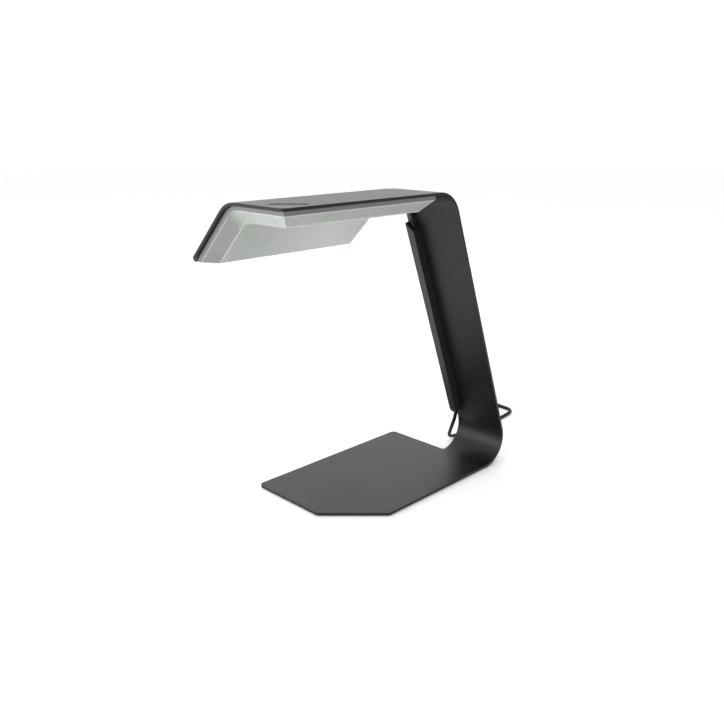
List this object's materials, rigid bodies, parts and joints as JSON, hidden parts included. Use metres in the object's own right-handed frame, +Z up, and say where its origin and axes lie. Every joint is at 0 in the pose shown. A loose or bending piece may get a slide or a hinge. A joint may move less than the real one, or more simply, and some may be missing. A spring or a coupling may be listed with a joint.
{
  "type": "desk lamp",
  "caption": "LED desk lamp folded from one steel sheet: flat base, leaning arm and head with a drooping side flap over a wide light panel, with a push key, cord and plug-in adaptor",
  "frame": {"origin": "on the table, under the middle of the lamp's own footprint, cord left out", "axes": "+X to the lamp's near side, where the arm stands; -Y to the front, where the head reaches; +Z up"},
  "size_m": [0.2921, 0.6595, 0.3482],
  "materials": {
    "powder_coat": "dark grey powder coat, satin",
    "foot_rubber": "matte rubber disc",
    "tray_plastic": "light grey moulded plastic",
    "opal_diffuser": "frosted milky plastic",
    "board_white": "white coated circuit board",
    "board_green": "green circuit board",
    "led_phosphor": "pale yellow chip",
    "steel_screw": "zinc plated",
    "key_plastic": "black, smooth",
    "black_plastic": "black, fine grain",
    "cover_plastic": "dark grey moulded plastic",
    "coil_wire": "varnished copper winding",
    "capacitor_sleeve": "dark blue sleeve",
    "wire_sleeve": "red insulation",
    "cord_rubber": "black cable jacket, satin",
    "tie_fabric": "black hook and loop strap",
    "pin_metal": "nickel plated"
  },
  "bodies": {
    "lamp": {"folded_sheet": "powder_coat", "feet": "foot_rubber", "panel_tray": "tray_plastic", "diffuser": "opal_diffuser", "head_board": "board_white", "wing_board": "board_white", "head_leds": "led_phosphor", "wing_leds": "led_phosphor", "tray_screws": "steel_screw", "key_housing": "black_plastic", "housing_screws": "steel_screw", "switch_board": "board_green", "tact_switch": "black_plastic", "arm_cover": "cover_plastic", "cover_rail": "cover_plastic", "rail_screws": "steel_screw", "driver_board": "board_green", "driver_coils": "coil_wire", "driver_capacitors": "capacitor_sleeve", "driver_chips": "black_plastic", "wire_duct": "cover_plastic", "lamp_wires": "wire_sleeve", "supply_wires": "wire_sleeve", "cord_grommet": "cord_rubber", "lamp_cord": "cord_rubber", "adaptor_lead": "cord_rubber", "cord_hank": "cord_rubber", "hank_tie": "tie_fabric", "adaptor_relief": "cord_rubber", "adaptor_body": "black_plastic", "adaptor_pins": "pin_metal"},
    "key": {"push_key": "key_plastic", "switch_plunger": "key_plastic"}
  },
  "joints": [
    {"name": "key_press", "type": "slide", "parent": "lamp", "child": "key", "axis": [0, 0, -1], "range_m": [0, 0.0008], "stiffness_N_per_m": 800, "springref_m": -0.001}
  ]
}
